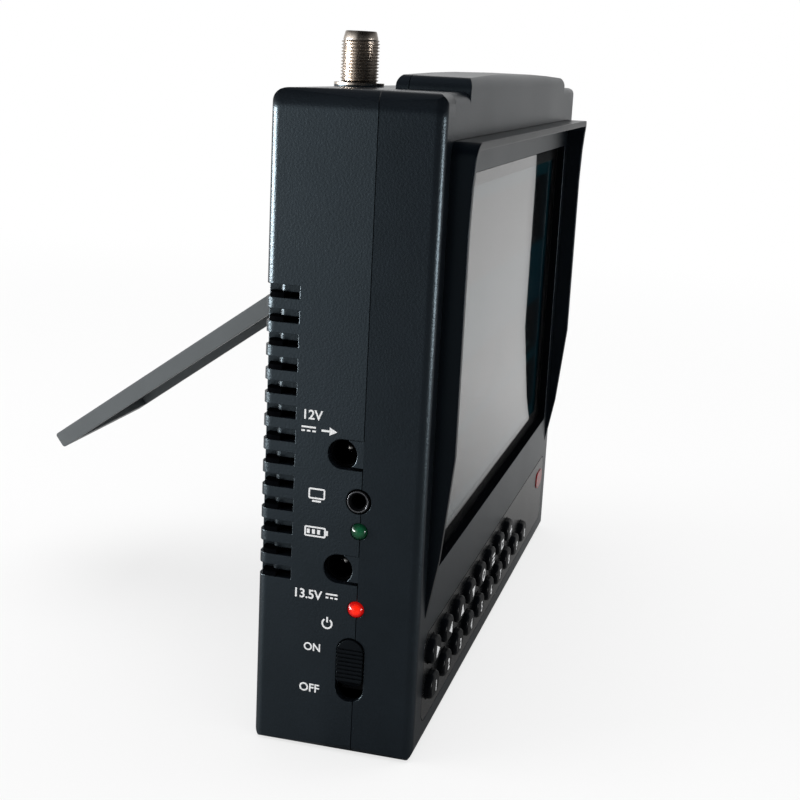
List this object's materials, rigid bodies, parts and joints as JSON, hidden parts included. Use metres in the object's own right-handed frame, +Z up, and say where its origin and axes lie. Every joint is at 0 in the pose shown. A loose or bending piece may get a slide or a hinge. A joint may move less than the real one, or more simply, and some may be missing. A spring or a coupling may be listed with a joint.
{
  "type": "satellite signal meter",
  "caption": "Hand-held satellite signal meter: two-shell black case, hooded screen, oval keypad keys, threaded aerial socket, side sockets, slide switch and folding rear stand.",
  "frame": {"origin": "middle of the base, on the surface that the meter stands on", "axes": "+X to the right seen from the screen side, +Y to the rear, +Z up; the screen faces -Y"},
  "size_m": [0.1964, 0.1388, 0.1722],
  "materials": {
    "case": "fine moulded grain, near-black",
    "hood": "smooth moulded, near-black",
    "lens": "clear hard-coated sheet",
    "display": "dark display panel",
    "shield": "plain sheet",
    "overlay": "satin printed overlay",
    "rubber": "moulded silicone",
    "key": "smooth moulded key",
    "board": "solder mask",
    "red_window": "tinted clear",
    "nickel": "nickel plate",
    "insulator": "moulded insulator",
    "brass": "plated brass",
    "socket": "moulded socket",
    "green_light": "tinted clear",
    "red_light": "tinted clear, lit",
    "knob": "moulded",
    "cell": "wrapped cell",
    "speaker": "painted basket and magnet",
    "stand": "fine moulded grain",
    "steel": "zinc plate"
  },
  "bodies": {
    "case": {"front_shell": "case", "rear_shell": "case", "sun_hood": "hood", "screen_lens": "lens", "lcd_module": "display", "lcd_bracket": "shield", "keypad_overlay": "overlay", "keypad_mat": "rubber", "keypad_board": "board", "remote_window": "red_window", "main_board": "board", "tuner_can": "shield", "f_connector": "nickel", "f_insulator": "insulator", "f_contact": "brass", "f_washer": "nickel", "f_nut": "nickel", "dc_output_jack": "socket", "dc_output_pin": "nickel", "dc_input_jack": "socket", "dc_input_pin": "nickel", "av_jack": "socket", "charge_led": "green_light", "power_led": "red_light", "switch_housing": "socket", "battery_cells": "cell", "battery_cradle": "socket", "speaker": "speaker", "stand_pin": "steel", "case_screws": "steel", "board_screws": "steel", "keypad_screws": "steel"},
    "key_upper_1": {"key_upper_1": "key"},
    "key_upper_2": {"key_upper_2": "key"},
    "key_upper_3": {"key_upper_3": "key"},
    "key_upper_4": {"key_upper_4": "key"},
    "key_upper_5": {"key_upper_5": "key"},
    "key_upper_6": {"key_upper_6": "key"},
    "key_upper_7": {"key_upper_7": "key"},
    "key_upper_8": {"key_upper_8": "key"},
    "key_lower_1": {"key_lower_1": "key"},
    "key_lower_2": {"key_lower_2": "key"},
    "key_lower_3": {"key_lower_3": "key"},
    "key_lower_4": {"key_lower_4": "key"},
    "key_lower_5": {"key_lower_5": "key"},
    "key_lower_6": {"key_lower_6": "key"},
    "key_lower_7": {"key_lower_7": "key"},
    "key_lower_8": {"key_lower_8": "key"},
    "key_lower_9": {"key_lower_9": "key"},
    "key_lower_10": {"key_lower_10": "key"},
    "stand": {"stand": "stand"},
    "power_knob": {"switch_knob": "knob"}
  },
  "joints": [
    {"name": "stand_fold", "type": "hinge", "parent": "case", "child": "stand", "pos_m": [0, 0.01785, 0.116], "axis": [1, 0, 0], "range_deg": [-53.9, 0]},
    {"name": "power_slide", "type": "slide", "parent": "case", "child": "power_knob", "axis": [0, 0, 1], "range_m": [-0.003, 0]},
    {"name": "key_upper_1_press", "type": "slide", "parent": "case", "child": "key_upper_1", "axis": [0, 1, 0], "range_m": [0, 0.0008], "stiffness_N_per_m": 600},
    {"name": "key_upper_2_press", "type": "slide", "parent": "case", "child": "key_upper_2", "axis": [0, 1, 0], "range_m": [0, 0.0008], "stiffness_N_per_m": 600},
    {"name": "key_upper_3_press", "type": "slide", "parent": "case", "child": "key_upper_3", "axis": [0, 1, 0], "range_m": [0, 0.0008], "stiffness_N_per_m": 600},
    {"name": "key_upper_4_press", "type": "slide", "parent": "case", "child": "key_upper_4", "axis": [0, 1, 0], "range_m": [0, 0.0008], "stiffness_N_per_m": 600},
    {"name": "key_upper_5_press", "type": "slide", "parent": "case", "child": "key_upper_5", "axis": [0, 1, 0], "range_m": [0, 0.0008], "stiffness_N_per_m": 600},
    {"name": "key_upper_6_press", "type": "slide", "parent": "case", "child": "key_upper_6", "axis": [0, 1, 0], "range_m": [0, 0.0008], "stiffness_N_per_m": 600},
    {"name": "key_upper_7_press", "type": "slide", "parent": "case", "child": "key_upper_7", "axis": [0, 1, 0], "range_m": [0, 0.0008], "stiffness_N_per_m": 600},
    {"name": "key_upper_8_press", "type": "slide", "parent": "case", "child": "key_upper_8", "axis": [0, 1, 0], "range_m": [0, 0.0008], "stiffness_N_per_m": 600},
    {"name": "key_lower_1_press", "type": "slide", "parent": "case", "child": "key_lower_1", "axis": [0, 1, 0], "range_m": [0, 0.0008], "stiffness_N_per_m": 600},
    {"name": "key_lower_2_press", "type": "slide", "parent": "case", "child": "key_lower_2", "axis": [0, 1, 0], "range_m": [0, 0.0008], "stiffness_N_per_m": 600},
    {"name": "key_lower_3_press", "type": "slide", "parent": "case", "child": "key_lower_3", "axis": [0, 1, 0], "range_m": [0, 0.0008], "stiffness_N_per_m": 600},
    {"name": "key_lower_4_press", "type": "slide", "parent": "case", "child": "key_lower_4", "axis": [0, 1, 0], "range_m": [0, 0.0008], "stiffness_N_per_m": 600},
    {"name": "key_lower_5_press", "type": "slide", "parent": "case", "child": "key_lower_5", "axis": [0, 1, 0], "range_m": [0, 0.0008], "stiffness_N_per_m": 600},
    {"name": "key_lower_6_press", "type": "slide", "parent": "case", "child": "key_lower_6", "axis": [0, 1, 0], "range_m": [0, 0.0008], "stiffness_N_per_m": 600},
    {"name": "key_lower_7_press", "type": "slide", "parent": "case", "child": "key_lower_7", "axis": [0, 1, 0], "range_m": [0, 0.0008], "stiffness_N_per_m": 600},
    {"name": "key_lower_8_press", "type": "slide", "parent": "case", "child": "key_lower_8", "axis": [0, 1, 0], "range_m": [0, 0.0008], "stiffness_N_per_m": 600},
    {"name": "key_lower_9_press", "type": "slide", "parent": "case", "child": "key_lower_9", "axis": [0, 1, 0], "range_m": [0, 0.0008], "stiffness_N_per_m": 600},
    {"name": "key_lower_10_press", "type": "slide", "parent": "case", "child": "key_lower_10", "axis": [0, 1, 0], "range_m": [0, 0.0008], "stiffness_N_per_m": 600}
  ]
}
